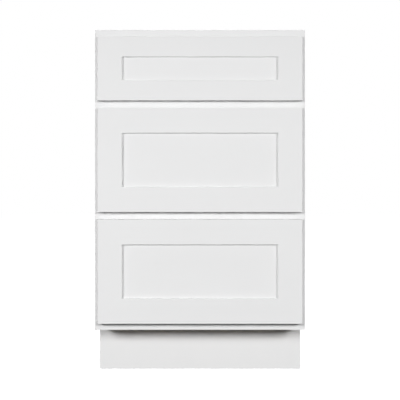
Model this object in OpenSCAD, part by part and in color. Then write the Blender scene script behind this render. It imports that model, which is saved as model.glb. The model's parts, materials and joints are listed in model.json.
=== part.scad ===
// Three-drawer vanity base cabinet: a face frame on a plywood box, five-piece shaker drawer
// fronts, dovetailed drawer boxes and full-extension undermount slides.
// Millimetres. The front faces -Y, +Z is up, and the origin is on the floor at the middle
// of the footprint.

/* [Cabinet box] */
// Width across the face frame
cabinet_w = 533.4; // [430:0.1:760]
// Height from the floor to the top of the cabinet
cabinet_h = 876.3; // [800:0.1:960]
// Depth from the wall to the front of the face frame
cabinet_d = 533.4; // [480:0.1:610]
// Height of the toe recess
toe_h = 114.3; // [80:0.1:140]
// How far the toe kick stands back from the face frame
toe_recess = 76.2; // [50:0.1:100]
// Thickness of the toe kick board
toe_t = 12.7; // [9:0.1:19]
// Thickness of the side panels
side_t = 12.7; // [9:0.1:18]
// Thickness of the bottom panel
bottom_t = 12.7; // [9:0.1:18]
// Thickness of the back panel
back_t = 9.5; // [6:0.1:12.7]
// Depth of the grooves and dadoes in the side panels
dado_d = 5; // [3:0.1:6]
// Height of the hanging rail
hanging_h = 76.2; // [50:0.1:100]
// Thickness of the hanging rail
hanging_t = 19; // [12:0.1:22]

/* [Face frame] */
// Thickness of the face frame
frame_t = 19.05; // [16:0.05:22]
// Width of the frame stiles
frame_stile_w = 38.1; // [34:0.1:50]
// Width of the frame rails
frame_rail_w = 38.1; // [32:0.1:44]
// How far the frame stands out past each side panel
frame_overhang = 4.76; // [2:0.01:8]
// Depth of the groove that each side panel enters behind the stile
frame_groove_d = 6; // [3:0.1:8]
// Length of the tenons on the frame rails
frame_tenon_l = 12; // [8:0.1:16]
// Thickness of the tenons on the frame rails
frame_tenon_t = 6.35; // [5:0.05:8]
// Shoulder left at each edge of a tenon
frame_tenon_shoulder = 5; // [3:0.1:8]

/* [Drawer fronts] */
// Thickness of the drawer fronts
front_t = 19.05; // [17:0.05:22]
// Height of the top drawer front
top_front_h = 161.9; // [150:0.1:190]
// Frame that shows above, between and below the fronts
reveal_z = 18.3; // [12:0.1:24]
// Frame that shows beside the fronts
reveal_x = 7.9; // [4:0.1:14]
// Gap that the bumpers keep between a front and the frame
bumper_gap = 2; // [1:0.1:4]
// Width of the stiles of a front
front_stile_w = 62.5; // [50:0.1:80]
// Width of the rails of the top front
top_rail_w = 52; // [40:0.1:56]
// Width of the rails of the two deep fronts
deep_rail_w = 64; // [50:0.1:80]
// Width of the bevel round the recessed panel
inner_bevel = 1; // [0.5:0.1:5.4]
// Chamfer on the outer front edges
outer_ease = 1.2; // [0.5:0.1:3]
// How far the panel lies behind the face of the frame
panel_recess = 6.35; // [5.5:0.05:7.5]
// Thickness of the panel and of the tongues beside it
panel_t = 6.35; // [4:0.05:7]
// Depth of the groove that holds the panel
panel_groove_d = 9.5; // [6:0.1:12]
// Room left for the panel to swell at the bottom of each groove
panel_float = 1.5; // [0.5:0.1:3]

/* [Drawer boxes] */
// Thickness of the drawer box boards
box_t = 16; // [12.7:0.1:18]
// Thickness of the drawer bottoms
box_bottom_t = 6.35; // [5:0.05:9]
// Depth of the grooves that hold the drawer bottoms
box_groove_d = 6; // [4:0.1:8]
// Height of a drawer bottom's underside above the lower edge of its box
bottom_recess = 12.7; // [11:0.1:16]
// Gap between a drawer box and the frame opening at each side
box_side_gap = 4.8; // [3:0.1:7]
// Height of a drawer box above the rail under it
box_lift = 14.3; // [12:0.1:17]
// Free height above a drawer box
box_headroom = 16.2; // [8:0.1:24]
// Free depth behind the drawer boxes
box_rear_space = 49.7; // [40:0.1:80]
// Spacing of the dovetails
tail_pitch = 25.4; // [20:0.1:34]
// Length of the dovetails
tail_l = 10.5; // [8:0.1:12]
// How much each flank of a dovetail flares
tail_flare = 2.2; // [1:0.1:3]

/* [Slides] */
// Thickness of the slide steel
slide_steel = 1.5; // [1:0.1:2]
// Width of the slide channels
slide_w = 22; // [18:0.1:26]
// Play between the sliding members
slide_play = 0.3; // [0.2:0.05:0.5]
// Free height between a fixed channel and the drawer box above it
channel_gap = 1; // [0.6:0.1:2]
// How far a runner stops short of the lower edge of its box
runner_lip = 0.5; // [0.2:0.1:1]
// Gap between the side of a drawer box and its runner
runner_gap = 1.2; // [0.5:0.1:3]
// Thickness of the middle beam's web
beam_web = 4; // [3:0.1:6]
// Free space beside the web in the channel slots
beam_slot_gap = 2; // [1:0.1:3]
// How far the fixed channels start behind the face of the frame
slide_setback = 3; // [1:0.1:8]
// How far the fixed channels reach past the drawer backs
slide_tail = 4; // [2:0.1:8]
// How far the beams start behind the front ends of the runners
beam_front_inset = 2; // [0.5:0.1:6]
// How far the beams end in front of the drawer backs
beam_rear_inset = 3; // [1:0.1:8]
// Height of the tab that fixes a channel behind its rail
tab_h = 16; // [12:0.1:22]
// Distance of a channel's flange from the side of the frame opening
flange_gap = 2; // [1:0.1:4]
// Radius of the screw holes in slides and brackets
screw_r = 2.2; // [1.5:0.05:2.6]
// Length of the locking clips
clip_l = 38; // [30:0.1:50]
// Width of the locking clips beside the runners
clip_w = 24; // [18:0.1:32]
// Thickness of the clip's nose in front of a runner
clip_nose = 3; // [2:0.1:5]
// Thickness of the clip's plate
clip_plate_t = 5; // [3.5:0.1:6]
// How far a clip stops short of the lower edge of its box
clip_lip = 2; // [1:0.1:3]
// Radius of the pin that each release lever turns on
lever_pin_r = 2.5; // [2:0.1:3]
// How far the head of a lever's pin stands out past the pin
pin_head_rim = 1; // [0.5:0.1:2]
// Thickness of the head of a lever's pin
pin_head_t = 0.8; // [0.5:0.1:1.4]
// Radial clearance of a lever on its pin
lever_fit = 0.05; // [0.02:0.01:0.1]
// Radius of a lever's hub
lever_hub_r = 6; // [5:0.1:7]
// Distance of a lever's hub from the rear end of its clip
lever_hub_edge = 1; // [0.5:0.1:3]
// Length of a lever's finger arm
lever_l = 20; // [16:0.1:26]
// How much narrower than its hub a lever's finger arm starts, at each side
lever_arm_inset = 1; // [0.2:0.1:2]
// Thickness of a lever's finger pad
lever_pad_t = 4; // [3:0.1:5]
// How far a lever's finger pad reaches forward
lever_pad_l = 9; // [6:0.1:12]
// Width of a lever's latch arm
latch_w = 5; // [3:0.1:7]
// Gap between a lever's latch arm and its runner
latch_gap = 0.6; // [0.4:0.1:2]
// Height of the rear brackets' back plates
bracket_h = 44; // [36:0.1:60]
// Thickness of the rear brackets
bracket_t = 3; // [2:0.1:4]
// Length of channel that rests on a rear bracket's shelf
shelf_l = 16; // [10:0.1:24]
// Radius of the hook pins in the drawer backs
hook_r = 2.8; // [2:0.1:3.2]
// Height of the hook pins above the drawer bottoms
hook_rise = 2; // [1:0.1:4]
// Free space beside the runners in the notches of the drawer backs
notch_gap = 3; // [1:0.1:5]

/* [Corner braces] */
// Length of a brace's legs
brace_leg = 100; // [80:0.1:130]
// Thickness of the corner braces
brace_t = 12.7; // [9:0.1:18]
// Width left at a brace's two tips
brace_tip = 20; // [12:0.1:30]
// Distance of the countertop screw hole from both legs
brace_hole_in = 38; // [28:0.1:40]
// Radius of the countertop screw holes
brace_hole_r = 2.5; // [1.5:0.1:4]

/* [Hidden] */

$fn = 48;
cut = 1; // how far a cutter runs past the face that it opens

paint = [0.93, 0.93, 0.92];
plywood = [0.86, 0.74, 0.56];
maple = [0.90, 0.80, 0.63];
zinc = [0.70, 0.72, 0.74];
clip_grey = [0.45, 0.47, 0.50];

TOP = 0;
MIDDLE = 1;
BOTTOM = 2;
DRAWERS = [TOP, MIDDLE, BOTTOM];

// Places from front to back
back_y = (cabinet_d + bumper_gap + front_t) / 2;
frame_y = back_y - cabinet_d;
frame_back_y = frame_y + frame_t;
front_back_y = frame_y - bumper_gap;
front_y = front_back_y - front_t;
hanging_y = back_y - hanging_t;
back_panel_y = hanging_y - back_t;
toe_y = frame_y + toe_recess;
box_y0 = front_back_y;
box_y1 = back_panel_y - box_rear_space;

// Places from the middle outwards
half_w = cabinet_w / 2;
side_x = half_w - frame_overhang;
inner_x = side_x - side_t;
open_x = half_w - frame_stile_w;
front_x = half_w - reveal_x;
box_x = open_x - box_side_gap;
box_in_x = box_x - box_t;
slide_x = box_in_x - runner_gap - slide_w / 2;

// Heights, from the top drawer down
deep_front_h = (cabinet_h - toe_h - 4 * reveal_z - top_front_h) / 2;
front_h = [top_front_h, deep_front_h, deep_front_h];
front_rail_w = [top_rail_w, deep_rail_w, deep_rail_w];
front_z = [
    cabinet_h - reveal_z - top_front_h,
    toe_h + 2 * reveal_z + deep_front_h,
    toe_h + reveal_z
];
rail_z = [
    cabinet_h - frame_rail_w,
    front_z[TOP] - (reveal_z + frame_rail_w) / 2,
    front_z[MIDDLE] - (reveal_z + frame_rail_w) / 2,
    toe_h
];
open_z = [for (k = DRAWERS) rail_z[k + 1] + frame_rail_w];
open_h = [for (k = DRAWERS) rail_z[k] - open_z[k]];
top_box_h = open_h[TOP] - box_lift - box_headroom;
deep_box_h = min(open_h[MIDDLE], open_h[BOTTOM]) - box_lift - box_headroom;
box_h = [top_box_h, deep_box_h, deep_box_h];
box_z = [for (k = DRAWERS) open_z[k] + box_lift];

// Slide members
channel_h = box_lift - channel_gap;
runner_h = bottom_recess - runner_lip;
slot_w = beam_web + 2 * beam_slot_gap;
flange_w = slide_w - 2 * slide_steel - 2 * slide_play;
slide_y0 = frame_y + slide_setback;
slide_y1 = box_y1 + slide_tail;
runner_y0 = box_y0 + box_t + clip_nose + slide_play;
beam_y0 = runner_y0 + beam_front_inset;
beam_y1 = box_y1 - beam_rear_inset;
notch_w = runner_gap + slide_w + notch_gap;
hook_z = bottom_recess + box_bottom_t + hook_r + hook_rise;

// Locking clips and their levers
clip_x = slide_x - slide_w / 2 - slide_play;
clip_y = box_y0 + box_t;
clip_h = bottom_recess - clip_lip;
lever_x = -clip_w / 2;
lever_y = clip_l - lever_hub_r - lever_hub_edge;
lever_t = clip_h - clip_plate_t - 2 * slide_play;

// A plain board between two corners
module board(low, high) {
    translate(low)
        cube(high - low);
}

// Draws its outline, given as (y, z), along X from x0 to x1
module along_x(x0, x1) {
    translate([x0, 0, 0])
        rotate([90, 0, 90])
            linear_extrude(x1 - x0)
                children();
}

// Draws its outline, given as (x, z), along Y from y0 to y1
module along_y(y0, y1) {
    translate([0, y1, 0])
        rotate([90, 0, 0])
            linear_extrude(y1 - y0)
                children();
}

// The same thing at the left and at the right
module both_sides() {
    children();
    mirror([1, 0, 0])
        children();
}

// Side panel at the right, with its toe notch, bottom dado and back groove
module side_panel() {
    difference() {
        along_x(inner_x, side_x)
            polygon([
                [toe_y + toe_t, 0], [back_y, 0], [back_y, cabinet_h],
                [frame_back_y - frame_groove_d, cabinet_h],
                [frame_back_y - frame_groove_d, toe_h], [toe_y + toe_t, toe_h]
            ]);
        bottom_board();
        back_board(cabinet_h + cut);
    }
}

module bottom_board() {
    board([-inner_x - dado_d, frame_back_y, toe_h],
          [inner_x + dado_d, back_panel_y, toe_h + bottom_t]);
}

module back_board(top_z) {
    board([-inner_x - dado_d, back_panel_y, toe_h], [inner_x + dado_d, hanging_y, top_z]);
}

module left_side() {
    color(paint)
        mirror([1, 0, 0])
            side_panel();
}

module right_side() {
    color(paint)
        side_panel();
}

module bottom_panel() {
    color(plywood)
        bottom_board();
}

module back_panel() {
    color(plywood)
        back_board(cabinet_h);
}

module hanging_rail() {
    color(plywood)
        board([-inner_x, hanging_y, cabinet_h - hanging_h], [inner_x, back_y, cabinet_h]);
}

module toe_kick_board() {
    color(paint)
        board([-side_x, toe_y, 0], [side_x, toe_y + toe_t, toe_h]);
}

// The two tenons of a frame rail, which the stiles are mortised for
module frame_tenons(level) {
    z = rail_z[level];
    tenon_y = frame_y + (frame_t - frame_tenon_t) / 2;
    tenon_x = open_x + frame_tenon_l;
    board([-tenon_x, tenon_y, z + frame_tenon_shoulder],
          [tenon_x, tenon_y + frame_tenon_t, z + frame_rail_w - frame_tenon_shoulder]);
}

module frame_rail(level) {
    z = rail_z[level];
    board([-open_x, frame_y, z], [open_x, frame_back_y, z + frame_rail_w]);
    frame_tenons(level);
}

// Frame stile at the right, mortised for the rails and grooved for the side panel
module frame_stile() {
    difference() {
        board([open_x, frame_y, toe_h], [half_w, frame_back_y, cabinet_h]);
        for (level = [0 : 3])
            frame_tenons(level);
        board([inner_x, frame_back_y - frame_groove_d, toe_h - cut],
              [side_x, frame_back_y + cut, cabinet_h + cut]);
    }
}

module frame_left_stile() {
    color(paint)
        mirror([1, 0, 0])
            frame_stile();
}

module frame_right_stile() {
    color(paint)
        frame_stile();
}

module frame_top_rail() {
    color(paint)
        frame_rail(0);
}

module frame_upper_rail() {
    color(paint)
        frame_rail(1);
}

module frame_lower_rail() {
    color(paint)
        frame_rail(2);
}

module frame_bottom_rail() {
    color(paint)
        frame_rail(3);
}

// Corner brace with its square corner at the origin and its legs along +X and +Y
module corner_brace() {
    difference() {
        linear_extrude(brace_t)
            polygon([[0, 0], [brace_leg, 0], [brace_leg, brace_tip],
                     [brace_tip, brace_leg], [0, brace_leg]]);
        translate([brace_hole_in, brace_hole_in, -cut])
            cylinder(h = brace_t + 2 * cut, r = brace_hole_r);
    }
}

module corner_braces() {
    color(plywood)
        both_sides()
            translate([-inner_x, 0, cabinet_h - brace_t]) {
                translate([0, frame_back_y, 0])
                    corner_brace();
                translate([0, back_panel_y, 0])
                    mirror([0, 1, 0])
                        corner_brace();
            }
}

// Section of a slide channel, open upwards, with its underside at 0
module channel_section(height) {
    difference() {
        translate([-slide_w / 2, 0])
            square([slide_w, height]);
        translate([-slide_w / 2 + slide_steel, slide_steel])
            square([slide_w - 2 * slide_steel, height - 2 * slide_steel]);
        translate([-slot_w / 2, height / 2])
            square([slot_w, height]);
    }
}

// Fixed channel at the right: it stands on the rail, and a tab goes down behind the rail
module slide_channel(k) {
    flange_x1 = open_x - flange_gap;
    along_y(slide_y0, slide_y1)
        translate([slide_x, open_z[k]]) {
            channel_section(channel_h);
            square([flange_x1 - slide_x, slide_steel]);
        }
    difference() {
        board([slide_x - slide_w / 2, frame_back_y, open_z[k] - tab_h],
              [flange_x1, frame_back_y + slide_steel, open_z[k] + slide_steel / 2]);
        translate([slide_x, frame_back_y - cut, open_z[k] - tab_h / 2])
            rotate([-90, 0, 0])
                cylinder(h = slide_steel + 2 * cut, r = screw_r);
    }
}

module slide_channels() {
    color(zinc)
        both_sides()
            for (k = DRAWERS)
                slide_channel(k);
}

// Rear bracket at the right: a plate on the back panel with a ribbed shelf under the channel
module slide_bracket(k) {
    x0 = slide_x - slide_w / 2 - bracket_t;
    x1 = slide_x + slide_w / 2 + bracket_t;
    plate_y = back_panel_y - bracket_t;
    shelf_y = slide_y1 - shelf_l;
    z = open_z[k];
    plate_z = z - bracket_h / 2;
    difference() {
        board([x0, plate_y, plate_z], [x1, back_panel_y, plate_z + bracket_h]);
        for (side = [-1, 1])
            translate([slide_x, plate_y - cut, z + side * (bracket_h / 2 - 3 * screw_r)])
                rotate([-90, 0, 0])
                    cylinder(h = bracket_t + 2 * cut, r = screw_r);
    }
    board([x0, shelf_y, z - bracket_t], [x1, plate_y + cut, z]);
    for (x = [x0, x1 - bracket_t])
        along_x(x, x + bracket_t)
            polygon([[shelf_y, z - bracket_t], [plate_y + cut, plate_z + bracket_t],
                     [plate_y + cut, z - bracket_t]]);
}

module slide_brackets() {
    color(zinc)
        both_sides()
            for (k = DRAWERS)
                slide_bracket(k);
}

// Middle members of one drawer's slides: beams whose flanges run in both channels
module slide_beams(k) {
    z0 = open_z[k] + slide_steel + slide_play;
    z1 = box_z[k] + bottom_recess - slide_steel - slide_play;
    color(zinc)
        both_sides()
            along_y(beam_y0, beam_y1)
                translate([slide_x, 0]) {
                    for (z = [z0, z1 - slide_steel])
                        translate([-flange_w / 2, z])
                            square([flange_w, slide_steel]);
                    translate([-beam_web / 2, z0])
                        square([beam_web, z1 - z0]);
                }
}

// Runners under one drawer: channels open downwards, hooked into the drawer back
module slide_runners(k) {
    top_z = box_z[k] + bottom_recess;
    plate_y = box_y1 + slide_play;
    pin_l = box_t / 2;
    color(zinc)
        both_sides() {
            along_y(runner_y0, plate_y + slide_steel)
                translate([slide_x, top_z])
                    mirror([0, 1, 0])
                        channel_section(runner_h);
            board([slide_x - slot_w / 2, plate_y, top_z - slide_steel],
                  [slide_x + slot_w / 2, plate_y + slide_steel, box_z[k] + hook_z + 2 * hook_r]);
            translate([slide_x, plate_y + slide_steel / 2, box_z[k] + hook_z])
                rotate([90, 0, 0])
                    cylinder(h = pin_l, r = hook_r);
        }
}

// Locking clips behind one drawer's sub-front, which hold the runners' front ends. Each has a
// nose in front of its runner, and a headed pin under its plate for the release lever.
module locking_clips(k) {
    pin_l = clip_h - clip_plate_t;
    color(clip_grey)
        both_sides()
            translate([clip_x, clip_y, box_z[k] + bottom_recess]) {
                difference() {
                    translate([0, 0, -clip_plate_t])
                        linear_extrude(clip_plate_t)
                            polygon([[0, 0], [0, clip_l], [-clip_w / 2, clip_l],
                                     [-clip_w, clip_l / 2], [-clip_w, 0]]);
                    translate([lever_x, clip_l / 3, -clip_plate_t - cut])
                        cylinder(h = clip_plate_t + 2 * cut, r = screw_r);
                }
                board([-clip_w, 0, -clip_h], [slide_w + slide_play, clip_nose, 0]);
                translate([lever_x, lever_y, -clip_h]) {
                    cylinder(h = pin_l + cut, r = lever_pin_r);
                    translate([0, 0, -pin_head_t])
                        cylinder(h = pin_head_t, r = lever_pin_r + pin_head_rim);
                }
            }
}

// Release lever at the right: a hub on the clip's pin, a latch arm and a finger arm
module release_lever(k) {
    latch_l = clip_w / 2 - latch_gap;
    root_w = lever_hub_r - lever_arm_inset;
    color(clip_grey)
        translate([clip_x + lever_x, clip_y + lever_y,
                   box_z[k] + bottom_recess - clip_h + slide_play])
            linear_extrude(lever_t)
                difference() {
                    union() {
                        circle(lever_hub_r);
                        translate([0, -latch_w / 2])
                            square([latch_l, latch_w]);
                        polygon([
                            [0, root_w], [-lever_l, lever_pad_t], [-lever_l, -lever_pad_l],
                            [-lever_l + lever_pad_t, -lever_pad_l],
                            [-lever_l + lever_pad_t, -lever_pad_t / 2], [0, -root_w]
                        ]);
                    }
                    circle(lever_pin_r + lever_fit);
                }
}

module left_lever(k) {
    mirror([1, 0, 0])
        release_lever(k);
}

module right_lever(k) {
    release_lever(k);
}

// Section of a front's stile or rail: (distance from the outer edge, distance behind the face)
module stick_section(width) {
    groove_y = panel_recess + panel_t;
    polygon([
        [0, 0], [width - inner_bevel, 0], [width, inner_bevel], [width, panel_recess],
        [width - panel_groove_d, panel_recess], [width - panel_groove_d, groove_y],
        [width, groove_y], [width, front_t], [0, front_t]
    ]);
}

// Outline of a front seen from above or from the side, with its front edges eased
module eased_outline(width) {
    polygon([
        [0, outer_ease], [outer_ease, 0], [width - outer_ease, 0], [width, outer_ease],
        [width, front_t], [0, front_t]
    ]);
}

// The block that one finished front fills, with eased front edges
module front_blank(k) {
    intersection() {
        translate([-front_x, front_y, front_z[k]])
            linear_extrude(front_h[k])
                eased_outline(2 * front_x);
        along_x(-front_x, front_x)
            translate([front_y, front_z[k]])
                mirror([1, -1])
                    eased_outline(front_h[k]);
    }
}

// Left stile of a front, as a full-length stick
module front_stick(k) {
    translate([-front_x, front_y, front_z[k]])
        linear_extrude(front_h[k])
            stick_section(front_stile_w);
}

module front_stile(k) {
    color(paint)
        intersection() {
            front_blank(k);
            front_stick(k);
        }
}

module front_left_stile(k) {
    front_stile(k);
}

module front_right_stile(k) {
    mirror([1, 0, 0])
        front_stile(k);
}

// Lower rail of a front, its ends coped over the bevel and tongue-and-groove of the stiles
module front_lower_rail(k) {
    inner_edge = front_x - front_stile_w;
    tongue_x = inner_edge + panel_groove_d;
    cope_x = inner_edge + inner_bevel;
    groove_y = panel_recess + panel_t;
    color(paint)
        intersection() {
            front_blank(k);
            along_x(-front_x, front_x)
                translate([front_y, front_z[k]])
                    mirror([1, -1])
                        stick_section(front_rail_w[k]);
            translate([0, front_y, front_z[k]])
                linear_extrude(front_h[k])
                    polygon([
                        [-cope_x, 0], [cope_x, 0], [inner_edge, inner_bevel],
                        [inner_edge, panel_recess], [tongue_x, panel_recess],
                        [tongue_x, groove_y], [inner_edge, groove_y], [inner_edge, front_t],
                        [-inner_edge, front_t], [-inner_edge, groove_y],
                        [-tongue_x, groove_y], [-tongue_x, panel_recess],
                        [-inner_edge, panel_recess], [-inner_edge, inner_bevel]
                    ]);
        }
}

module front_upper_rail(k) {
    translate([0, 0, 2 * front_z[k] + front_h[k]])
        mirror([0, 0, 1])
            front_lower_rail(k);
}

// Recessed panel, loose in its grooves so that it can swell and shrink
module front_panel(k) {
    reach = panel_groove_d - panel_float;
    x = front_x - front_stile_w + reach;
    color(paint)
        board([-x, front_y + panel_recess, front_z[k] + front_rail_w[k] - reach],
              [x, front_y + panel_recess + panel_t,
               front_z[k] + front_h[k] - front_rail_w[k] + reach]);
}

// Bottom of a drawer box, which the four boards are grooved for
module drawer_bottom_board(k) {
    x = box_in_x + box_groove_d;
    z = box_z[k] + bottom_recess;
    board([-x, box_y0 + box_t - box_groove_d, z],
          [x, box_y1 - box_t + box_groove_d, z + box_bottom_t]);
}

function tail_count(k) = floor(box_h[k] / tail_pitch);

// Corners of one dovetail, as (distance past its shoulder, height)
function tail_corners(k, i) =
    let (
        pitch = box_h[k] / tail_count(k),
        z = box_z[k] + (i + 0.5) * pitch,
        neck = pitch / 4,
        flare = neck + tail_flare
    )
    [[0, z - neck], [tail_l, z - flare], [tail_l, z + flare], [0, z + neck]];

// Sockets for the dovetails, which the drawer's sub-front and back are cut for
module dovetail_sockets(k) {
    both_sides()
        along_x(box_in_x, box_x + cut)
            for (i = [0 : tail_count(k) - 1]) {
                tail = tail_corners(k, i);
                socket = concat([[-cut, tail[0][1]]], tail, [[-cut, tail[3][1]]]);
                polygon([for (p = socket) [box_y0 + box_t - p[0], p[1]]]);
                polygon([for (p = socket) [box_y1 - box_t + p[0], p[1]]]);
            }
}

// Right-hand drawer side: one outline with all its dovetails, grooved for the bottom
module drawer_side(k) {
    low_z = box_z[k];
    high_z = box_z[k] + box_h[k];
    shoulder_y0 = box_y0 + box_t;
    shoulder_y1 = box_y1 - box_t;
    tails = [for (i = [0 : tail_count(k) - 1]) each tail_corners(k, i)];
    color(maple)
        difference() {
            along_x(box_in_x, box_x)
                polygon(concat(
                    [[shoulder_y0, low_z], [shoulder_y1, low_z]],
                    [for (p = tails) [shoulder_y1 + p[0], p[1]]],
                    [[shoulder_y1, high_z], [shoulder_y0, high_z]],
                    [for (i = [len(tails) - 1 : -1 : 0]) [shoulder_y0 - tails[i][0], tails[i][1]]]
                ));
            drawer_bottom_board(k);
        }
}

module drawer_left_side(k) {
    mirror([1, 0, 0])
        drawer_side(k);
}

module drawer_right_side(k) {
    drawer_side(k);
}

module drawer_subfront(k) {
    color(maple)
        difference() {
            board([-box_x, box_y0, box_z[k]], [box_x, box_y0 + box_t, box_z[k] + box_h[k]]);
            dovetail_sockets(k);
            drawer_bottom_board(k);
        }
}

// Drawer back, notched for the runners and bored for their hooks
module drawer_back(k) {
    color(maple)
        difference() {
            board([-box_x, box_y1 - box_t, box_z[k]], [box_x, box_y1, box_z[k] + box_h[k]]);
            dovetail_sockets(k);
            both_sides() {
                board([box_in_x - notch_w, box_y1 - box_t - cut, box_z[k] - cut],
                      [box_in_x, box_y1 + cut, box_z[k] + bottom_recess]);
                translate([slide_x, box_y1 + cut, box_z[k] + hook_z])
                    rotate([90, 0, 0])
                        cylinder(h = box_t / 2 + cut, r = hook_r + slide_play);
            }
            drawer_bottom_board(k);
        }
}

module drawer_bottom(k) {
    color(plywood)
        drawer_bottom_board(k);
}

left_side();
right_side();
bottom_panel();
back_panel();
hanging_rail();
toe_kick_board();
frame_left_stile();
frame_right_stile();
frame_top_rail();
frame_upper_rail();
frame_lower_rail();
frame_bottom_rail();
corner_braces();
slide_channels();
slide_brackets();

slide_beams(TOP);  // top_slide_beams
front_left_stile(TOP);  // top_front_left_stile
front_right_stile(TOP);  // top_front_right_stile
front_upper_rail(TOP);  // top_front_upper_rail
front_lower_rail(TOP);  // top_front_lower_rail
front_panel(TOP);  // top_front_panel
drawer_left_side(TOP);  // top_drawer_left_side
drawer_right_side(TOP);  // top_drawer_right_side
drawer_subfront(TOP);  // top_drawer_subfront
drawer_back(TOP);  // top_drawer_back
drawer_bottom(TOP);  // top_drawer_bottom
slide_runners(TOP);  // top_slide_runners
locking_clips(TOP);  // top_locking_clips
left_lever(TOP);  // top_left_lever
right_lever(TOP);  // top_right_lever

slide_beams(MIDDLE);  // middle_slide_beams
front_left_stile(MIDDLE);  // middle_front_left_stile
front_right_stile(MIDDLE);  // middle_front_right_stile
front_upper_rail(MIDDLE);  // middle_front_upper_rail
front_lower_rail(MIDDLE);  // middle_front_lower_rail
front_panel(MIDDLE);  // middle_front_panel
drawer_left_side(MIDDLE);  // middle_drawer_left_side
drawer_right_side(MIDDLE);  // middle_drawer_right_side
drawer_subfront(MIDDLE);  // middle_drawer_subfront
drawer_back(MIDDLE);  // middle_drawer_back
drawer_bottom(MIDDLE);  // middle_drawer_bottom
slide_runners(MIDDLE);  // middle_slide_runners
locking_clips(MIDDLE);  // middle_locking_clips
left_lever(MIDDLE);  // middle_left_lever
right_lever(MIDDLE);  // middle_right_lever

slide_beams(BOTTOM);  // bottom_slide_beams
front_left_stile(BOTTOM);  // bottom_front_left_stile
front_right_stile(BOTTOM);  // bottom_front_right_stile
front_upper_rail(BOTTOM);  // bottom_front_upper_rail
front_lower_rail(BOTTOM);  // bottom_front_lower_rail
front_panel(BOTTOM);  // bottom_front_panel
drawer_left_side(BOTTOM);  // bottom_drawer_left_side
drawer_right_side(BOTTOM);  // bottom_drawer_right_side
drawer_subfront(BOTTOM);  // bottom_drawer_subfront
drawer_back(BOTTOM);  // bottom_drawer_back
drawer_bottom(BOTTOM);  // bottom_drawer_bottom
slide_runners(BOTTOM);  // bottom_slide_runners
locking_clips(BOTTOM);  // bottom_locking_clips
left_lever(BOTTOM);  // bottom_left_lever
right_lever(BOTTOM);  // bottom_right_lever
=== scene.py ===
# %% [markdown]
# # A white three-drawer vanity base
#
# This lesson dresses a finished construction model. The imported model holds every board,
# slide and lever of the cabinet at its true size, with the joints that the drawers run on.
# Here each of them gets the edges and the finish that a maker would give it, and nothing is
# moved. All lengths are in metres, the front faces -Y, and Z is up.

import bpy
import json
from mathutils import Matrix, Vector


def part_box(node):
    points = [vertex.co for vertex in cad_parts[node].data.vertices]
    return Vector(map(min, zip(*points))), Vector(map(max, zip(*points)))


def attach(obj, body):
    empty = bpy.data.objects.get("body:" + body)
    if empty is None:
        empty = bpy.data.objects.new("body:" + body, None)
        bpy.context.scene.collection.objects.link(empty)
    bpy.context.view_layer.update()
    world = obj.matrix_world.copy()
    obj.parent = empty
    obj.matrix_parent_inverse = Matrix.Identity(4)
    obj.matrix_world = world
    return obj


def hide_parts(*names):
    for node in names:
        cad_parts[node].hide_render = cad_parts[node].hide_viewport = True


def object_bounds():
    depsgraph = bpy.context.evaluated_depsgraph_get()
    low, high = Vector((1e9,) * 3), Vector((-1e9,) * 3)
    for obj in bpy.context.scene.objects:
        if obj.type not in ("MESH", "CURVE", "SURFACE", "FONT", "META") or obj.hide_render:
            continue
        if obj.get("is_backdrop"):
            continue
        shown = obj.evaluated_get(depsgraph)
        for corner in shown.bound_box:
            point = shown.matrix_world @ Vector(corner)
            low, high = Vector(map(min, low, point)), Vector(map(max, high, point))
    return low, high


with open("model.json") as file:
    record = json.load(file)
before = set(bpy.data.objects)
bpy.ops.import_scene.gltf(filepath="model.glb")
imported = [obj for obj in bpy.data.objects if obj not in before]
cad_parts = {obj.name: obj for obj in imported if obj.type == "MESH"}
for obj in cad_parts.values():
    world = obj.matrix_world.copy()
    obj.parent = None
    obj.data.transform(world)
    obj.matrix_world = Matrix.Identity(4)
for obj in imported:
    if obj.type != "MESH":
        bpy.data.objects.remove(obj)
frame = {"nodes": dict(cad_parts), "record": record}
cad_low, cad_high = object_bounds()
print("cabinet", [round(high - low, 4) for low, high in zip(cad_low, cad_high)], "m")

# %% [markdown]
# ## Working tools
#
# An operator works on whatever is selected, just as it does by hand. These helpers stand in
# for the mouse: `take` clicks on one object, and `pick` goes into edit mode and selects the
# corners, edges or faces that a small test says yes to. A test reads places and normals, so
# it keeps working when a size of the cabinet changes.

# %% Select as by hand
import json
import math
import random

import bmesh
import bpy
from mathutils import Euler, Vector

X, Y, Z = 0, 1, 2
LEFT, RIGHT = -1, 1
HAIR = 0.00002  # two places closer than this count as one
SAME_WAY = 0.99  # two directions count as one when they share this much
NEARLY_FLAT = math.radians(1)


def take(piece):
    bpy.ops.object.select_all(action="DESELECT")
    piece.select_set(True)
    bpy.context.view_layer.objects.active = piece


def pick(piece, kind, wanted=lambda item: True):
    take(piece)
    bpy.ops.object.mode_set(mode="EDIT")
    modes = {"verts": "VERT", "edges": "EDGE", "faces": "FACE"}
    bpy.ops.mesh.select_mode(type=modes[kind])
    bpy.ops.mesh.select_all(action="DESELECT")
    mesh = bmesh.from_edit_mesh(piece.data)
    chosen = [item for item in getattr(mesh, kind) if wanted(item)]
    for item in chosen:
        item.select_set(True)
    bmesh.update_edit_mesh(piece.data)
    return len(chosen)


def put_down():
    bpy.ops.object.mode_set(mode="OBJECT")


def near(a, b):
    return abs(a - b) < HAIR


print("selection tools are ready")

# %% [markdown]
# ## Boards and their edges
#
# Boards that carry joinery, such as dovetails and tongues, are already right in the packed
# model, but its meshes are loose triangles. A copy is merged, its flat faces are joined up,
# and only then can its edges be softened. No real edge is perfectly sharp: a narrow bevel
# catches a line of light and makes a board look like a board. Weighted normals keep the
# broad faces flat beside those bevels.

# %% Copy, soften and smooth
EASY_ANGLE = math.radians(35)


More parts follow.
